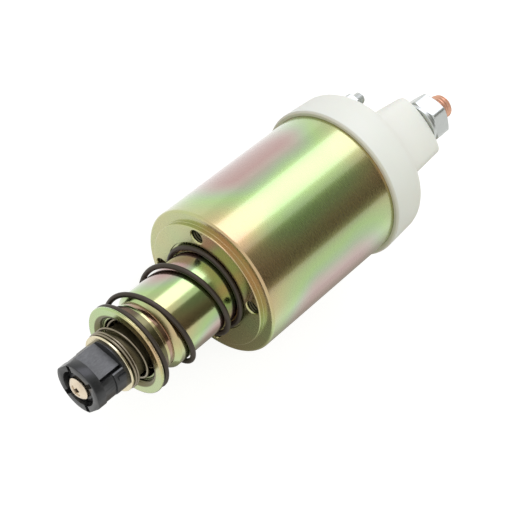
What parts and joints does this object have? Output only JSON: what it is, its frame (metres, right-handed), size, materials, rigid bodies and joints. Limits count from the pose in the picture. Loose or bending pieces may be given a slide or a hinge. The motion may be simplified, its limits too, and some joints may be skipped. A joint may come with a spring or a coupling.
{
  "type": "starter solenoid",
  "caption": "Starter solenoid: plated steel can with a sprung plunger, spring cup and black fork end in front, and a cream cap with copper terminal studs behind.",
  "frame": {"origin": "on the axis of the body, in the plane of the front mounting face that the four tapped holes open in", "axes": "+X along the body's axis, out of the mounting face towards the fork end; +Z from the axis towards the battery terminal; +Y completes the right-handed frame"},
  "size_m": [0.1875, 0.065, 0.0658],
  "materials": {
    "yellow_zinc": "yellow zinc plating with green and pink iridescence, semi-gloss",
    "olive_zinc": "dark olive zinc plating, satin",
    "spring_steel": "dark blued spring steel, satin",
    "black_nylon": "dark grey glass-filled nylon, satin",
    "cream_nylon": "cream-white moulded nylon, satin",
    "brown_laminate": "brown insulating laminate, matt",
    "copper": "bare copper, lightly toned",
    "enamelled_copper": "enamelled copper wire, glossy",
    "bright_zinc": "bright zinc plating",
    "pale_gold_zinc": "pale gold zinc plating",
    "plain_steel": "turned steel",
    "brass": "drawn brass",
    "rubber": "black rubber"
  },
  "bodies": {
    "solenoid_body": {"housing_can": "yellow_zinc", "guide_sleeve": "brass", "bobbin": "black_nylon", "pull_in_winding": "enamelled_copper", "hold_in_winding": "enamelled_copper", "pull_in_lead": "enamelled_copper", "hold_in_lead": "enamelled_copper", "rear_core": "plain_steel", "terminal_cap": "cream_nylon", "cap_seal": "rubber", "cap_screws": "bright_zinc", "battery_stud": "copper", "battery_washer": "bright_zinc", "battery_nut": "bright_zinc", "motor_stud": "copper", "motor_washer": "bright_zinc", "motor_nut": "bright_zinc", "coil_stud": "bright_zinc", "coil_nut": "bright_zinc", "return_spring": "spring_steel", "contact_return_spring": "spring_steel"},
    "plunger": {"plunger": "yellow_zinc", "plunger_plug": "plain_steel", "spring_cup": "yellow_zinc", "lost_motion_spring": "spring_steel"},
    "fork_end": {"fork_end": "black_nylon", "pull_rod": "plain_steel", "rod_sleeve": "olive_zinc", "end_washer": "olive_zinc", "end_screw": "pale_gold_zinc"},
    "push_rod": {"push_rod": "plain_steel", "rod_clip": "plain_steel", "contact_spring": "spring_steel"},
    "contact_bridge": {"contact_bridge": "copper", "bridge_insulator": "brown_laminate", "insulating_washer": "brown_laminate"}
  },
  "joints": [
    {"name": "plunger_slide", "type": "slide", "parent": "solenoid_body", "child": "plunger", "axis": [-1, 0, 0], "range_m": [0, 0.01], "stiffness_N_per_m": 1500, "springref_m": -0.003, "deforming": ["return_spring"]},
    {"name": "fork_end_slide", "type": "slide", "parent": "plunger", "child": "fork_end", "axis": [-1, 0, 0], "range_m": [0, 0.005], "stiffness_N_per_m": 3000, "springref_m": -0.005, "deforming": ["lost_motion_spring"]},
    {"name": "contact_slide", "type": "slide", "parent": "solenoid_body", "child": "push_rod", "axis": [-1, 0, 0], "range_m": [0, 0.0032], "deforming": ["contact_return_spring"]},
    {"name": "bridge_slide", "type": "slide", "parent": "push_rod", "child": "contact_bridge", "axis": [1, 0, 0], "range_m": [0, 0.001], "deforming": ["contact_spring"]}
  ],
  "couplings": [
    {"joint": "contact_slide", "follows": "plunger_slide", "ratio": 0.32},
    {"joint": "bridge_slide", "follows": "plunger_slide", "ratio": 0.1}
  ]
}
